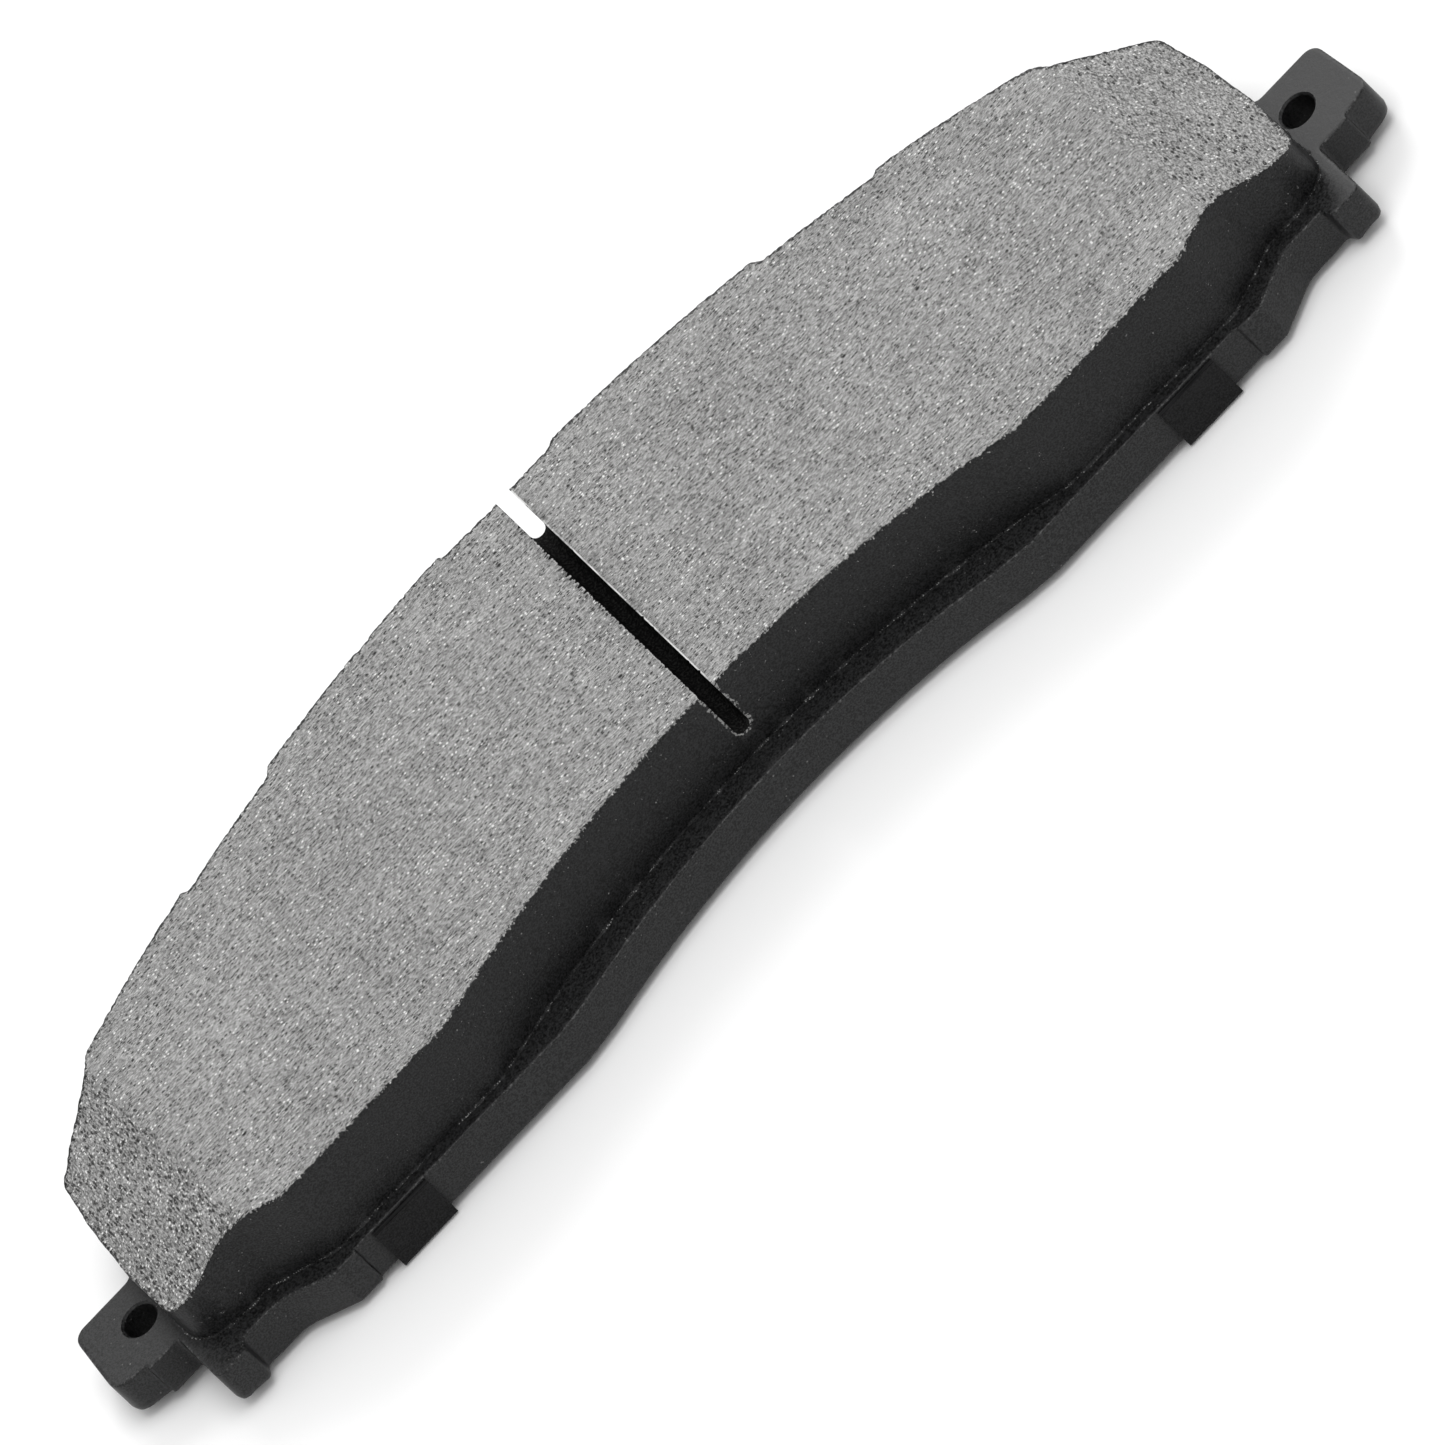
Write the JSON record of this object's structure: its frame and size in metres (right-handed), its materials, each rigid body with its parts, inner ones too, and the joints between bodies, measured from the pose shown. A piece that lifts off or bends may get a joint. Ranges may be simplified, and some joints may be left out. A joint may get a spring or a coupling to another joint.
{
  "type": "brake pad",
  "caption": "Heavy-duty disc brake pad: powder-coated steel backing plate with drilled ears, slotted and chamfered friction block, clip-on damping shim.",
  "frame": {"origin": "under the middle of the pad's bounding box, on the surface that its back lies on", "axes": "+X along the pad, +Y from the disc's centre outwards, to the pad's convex edge, +Z out of the friction face"},
  "size_m": [0.1952, 0.058, 0.0179],
  "materials": {
    "powder_coat": "satin",
    "friction_mix": "matte",
    "base_mix": "matte",
    "adhesive": "satin",
    "shim_rubber": "matte",
    "shim_steel": "satin"
  },
  "bodies": {
    "root": {"backing_plate": "powder_coat", "bonding_adhesive": "adhesive", "underlayer": "base_mix", "friction_lining": "friction_mix", "shim_adhesive": "adhesive", "shim_inner_rubber": "shim_rubber", "shim_core": "shim_steel", "shim_outer_rubber": "shim_rubber"}
  },
  "joints": []
}
